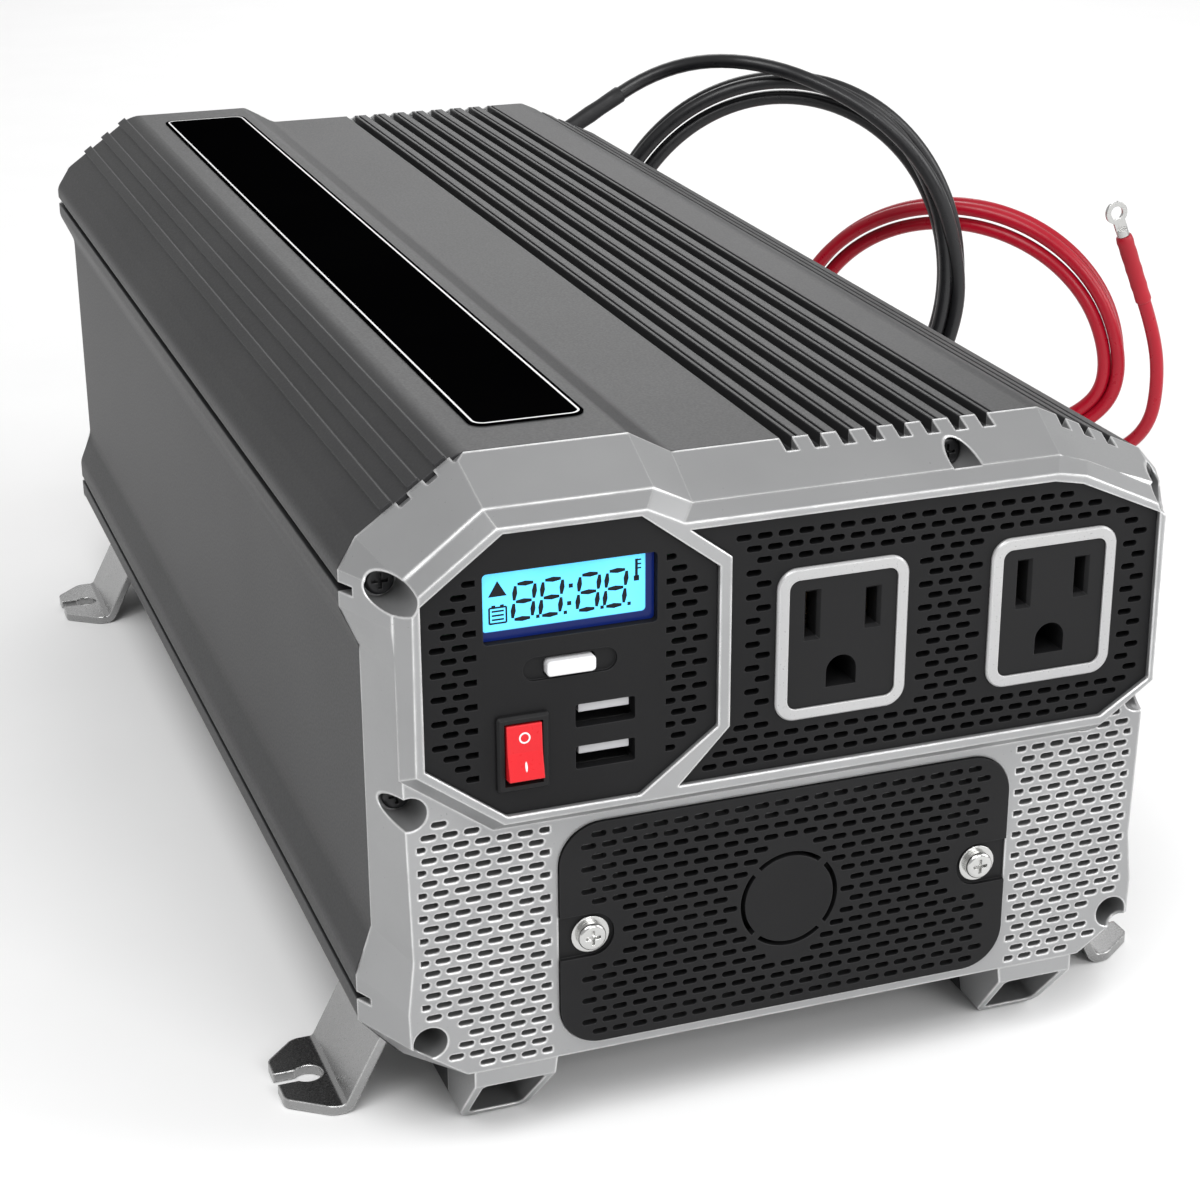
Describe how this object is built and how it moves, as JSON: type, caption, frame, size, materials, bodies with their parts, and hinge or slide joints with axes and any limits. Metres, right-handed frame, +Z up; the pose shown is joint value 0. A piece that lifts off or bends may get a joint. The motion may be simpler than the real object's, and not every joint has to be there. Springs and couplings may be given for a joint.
{
  "type": "power inverter",
  "caption": "Box-shaped DC to AC power inverter: ribbed metal case on foot rails, silver bezels, display and outlets in front, fans and posts behind, coiled battery leads.",
  "frame": {"origin": "bottom centre of the inverter without its leads, on the surface that the foot rails stand on", "axes": "+Y from the control face to the terminal face, +Z up, +X to the right seen from the front"},
  "size_m": [0.3628, 0.4028, 0.142],
  "materials": {
    "charcoal_body": "satin",
    "silver_bezel": "satin",
    "black_fastener": "satin",
    "label_film": "gloss",
    "black_panel": "satin",
    "zinc_bracket": "satin",
    "steel_fastener": "satin",
    "display_window": "gloss",
    "display_blue": "gloss",
    "grey_button": "matt",
    "black_plastic": "matt",
    "red_rocker": "gloss",
    "steel_shell": "satin",
    "pale_plastic": "matt",
    "circuit_board": "matt",
    "black_gloss": "gloss",
    "brass_contact": "satin",
    "black_cover": "satin",
    "chrome_wire": "gloss",
    "red_insulator": "gloss",
    "ferrite": "matt",
    "winding_tape": "satin",
    "capacitor_sleeve": "gloss",
    "bare_aluminium": "satin",
    "black_insulation": "satin",
    "red_insulation": "satin",
    "black_shrink": "matt",
    "red_shrink": "matt",
    "tinned_lug": "satin"
  },
  "bodies": {
    "case": {"base_tray": "charcoal_body", "board_standoffs": "brass_contact", "bracket_front_left": "zinc_bracket", "bracket_front_right": "zinc_bracket", "bracket_rear_left": "zinc_bracket", "bracket_rear_right": "zinc_bracket", "bracket_screws": "steel_fastener", "bulk_capacitors": "capacitor_sleeve", "control_board": "circuit_board", "control_panel": "black_panel", "cover_screws": "steel_fastener", "cover_washers": "steel_fastener", "dc_insulator_negative": "black_gloss", "dc_insulator_positive": "red_insulator", "dc_nuts": "steel_fastener", "dc_studs": "brass_contact", "fan_frames": "black_plastic", "fan_guards": "chrome_wire", "fan_screws": "black_fastener", "front_bezel": "silver_bezel", "front_bezel_screws": "black_fastener", "ground_stud": "steel_fastener", "heatsinks": "bare_aluminium", "label_plate": "label_film", "lcd_module": "display_blue", "lcd_window": "display_window", "main_board": "circuit_board", "menu_tact_switch": "black_plastic", "negative_coil": "black_insulation", "negative_lead": "black_insulation", "negative_lugs": "tinned_lug", "negative_sleeves": "black_shrink", "negative_tail": "black_insulation", "outlet_frames": "silver_bezel", "outlet_panel": "black_panel", "positive_coil": "red_insulation", "positive_lead": "red_insulation", "positive_lugs": "tinned_lug", "positive_sleeves": "red_shrink", "positive_tail": "red_insulation", "power_transistors": "black_plastic", "rear_bezel": "silver_bezel", "rear_bezel_screws": "black_fastener", "rear_panel": "black_panel", "receptacle_contacts": "brass_contact", "receptacle_left": "black_gloss", "receptacle_right": "black_gloss", "rocker_frame": "black_plastic", "terminal_block": "black_plastic", "terminal_block_screws": "steel_fastener", "terminal_cover": "black_cover", "top_shell": "charcoal_body", "transformer_cores": "ferrite", "transformer_windings": "winding_tape", "usb_shells": "steel_shell", "usb_tongues": "pale_plastic"},
    "power_rocker": {"rocker_switch": "red_rocker"},
    "menu_key": {"menu_button": "grey_button"},
    "fan_wheel_left": {"fan_rotor_left": "black_plastic"},
    "fan_wheel_right": {"fan_rotor_right": "black_plastic"}
  },
  "joints": [
    {"name": "rocker_tilt", "type": "hinge", "parent": "case", "child": "power_rocker", "pos_m": [-0.0551, -0.18335, 0.0862], "axis": [1, 0, 0], "range_deg": [0, 16]},
    {"name": "menu_press", "type": "slide", "parent": "case", "child": "menu_key", "axis": [0, 1, 0], "range_m": [0, 0.0008], "stiffness_N_per_m": 1000, "springref_m": -0.0004},
    {"name": "fan_spin_left", "type": "hinge", "parent": "case", "child": "fan_wheel_left", "pos_m": [-0.037, 0.1378, 0.054], "axis": [0, 1, 0], "continuous": true},
    {"name": "fan_spin_right", "type": "hinge", "parent": "case", "child": "fan_wheel_right", "pos_m": [0.037, 0.1378, 0.054], "axis": [0, 1, 0], "continuous": true}
  ]
}
